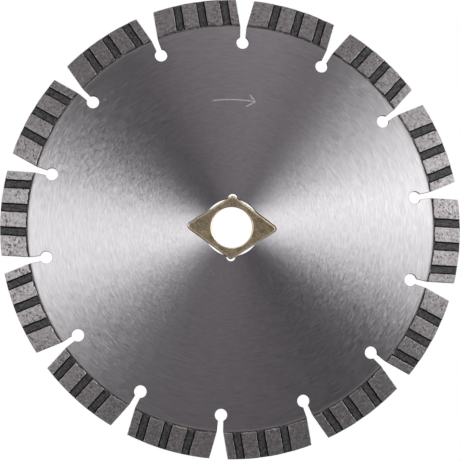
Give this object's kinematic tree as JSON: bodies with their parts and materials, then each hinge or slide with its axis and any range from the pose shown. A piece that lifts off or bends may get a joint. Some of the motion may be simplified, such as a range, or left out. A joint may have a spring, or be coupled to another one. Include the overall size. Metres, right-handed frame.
{
  "type": "segmented diamond blade",
  "caption": "Segmented diamond blade: a flat steel core with keyhole gullets, grooved rim segments on welded feet, and a knock-out diamond-shaped arbor insert with a round bore.",
  "frame": {"origin": "middle of the bore, half way through the blade's thickness", "axes": "+Z along the blade's axis, out of the front face; +X along the long diagonal of the arbor insert; +Y along its short diagonal"},
  "size_m": [0.1778, 0.1778, 0.0024],
  "materials": {
    "core_steel": "ground and brushed in circles around the bore, thin clear rust guard",
    "sintered_segment": "sintered metal powder, dressed grey on the lands, charcoal in the pressed grooves, pitted",
    "weld_zone": "rippled laser weld, heat tinted",
    "yellow_plate": "stamped steel with a mottled yellow plating, tumbled edges"
  },
  "bodies": {
    "blade": {"steel_core": "core_steel", "segment_01": "sintered_segment", "segment_02": "sintered_segment", "segment_03": "sintered_segment", "segment_04": "sintered_segment", "segment_05": "sintered_segment", "segment_06": "sintered_segment", "segment_07": "sintered_segment", "segment_08": "sintered_segment", "segment_09": "sintered_segment", "segment_10": "sintered_segment", "segment_11": "sintered_segment", "segment_12": "sintered_segment", "segment_13": "sintered_segment", "segment_14": "sintered_segment", "weld_foot_01": "weld_zone", "weld_foot_02": "weld_zone", "weld_foot_03": "weld_zone", "weld_foot_04": "weld_zone", "weld_foot_05": "weld_zone", "weld_foot_06": "weld_zone", "weld_foot_07": "weld_zone", "weld_foot_08": "weld_zone", "weld_foot_09": "weld_zone", "weld_foot_10": "weld_zone", "weld_foot_11": "weld_zone", "weld_foot_12": "weld_zone", "weld_foot_13": "weld_zone", "weld_foot_14": "weld_zone"},
    "insert": {"arbor_insert": "yellow_plate"}
  },
  "joints": [
    {"name": "insert_knockout", "type": "slide", "parent": "blade", "child": "insert", "axis": [0, 0, 1], "range_m": [0, 0.015]}
  ]
}
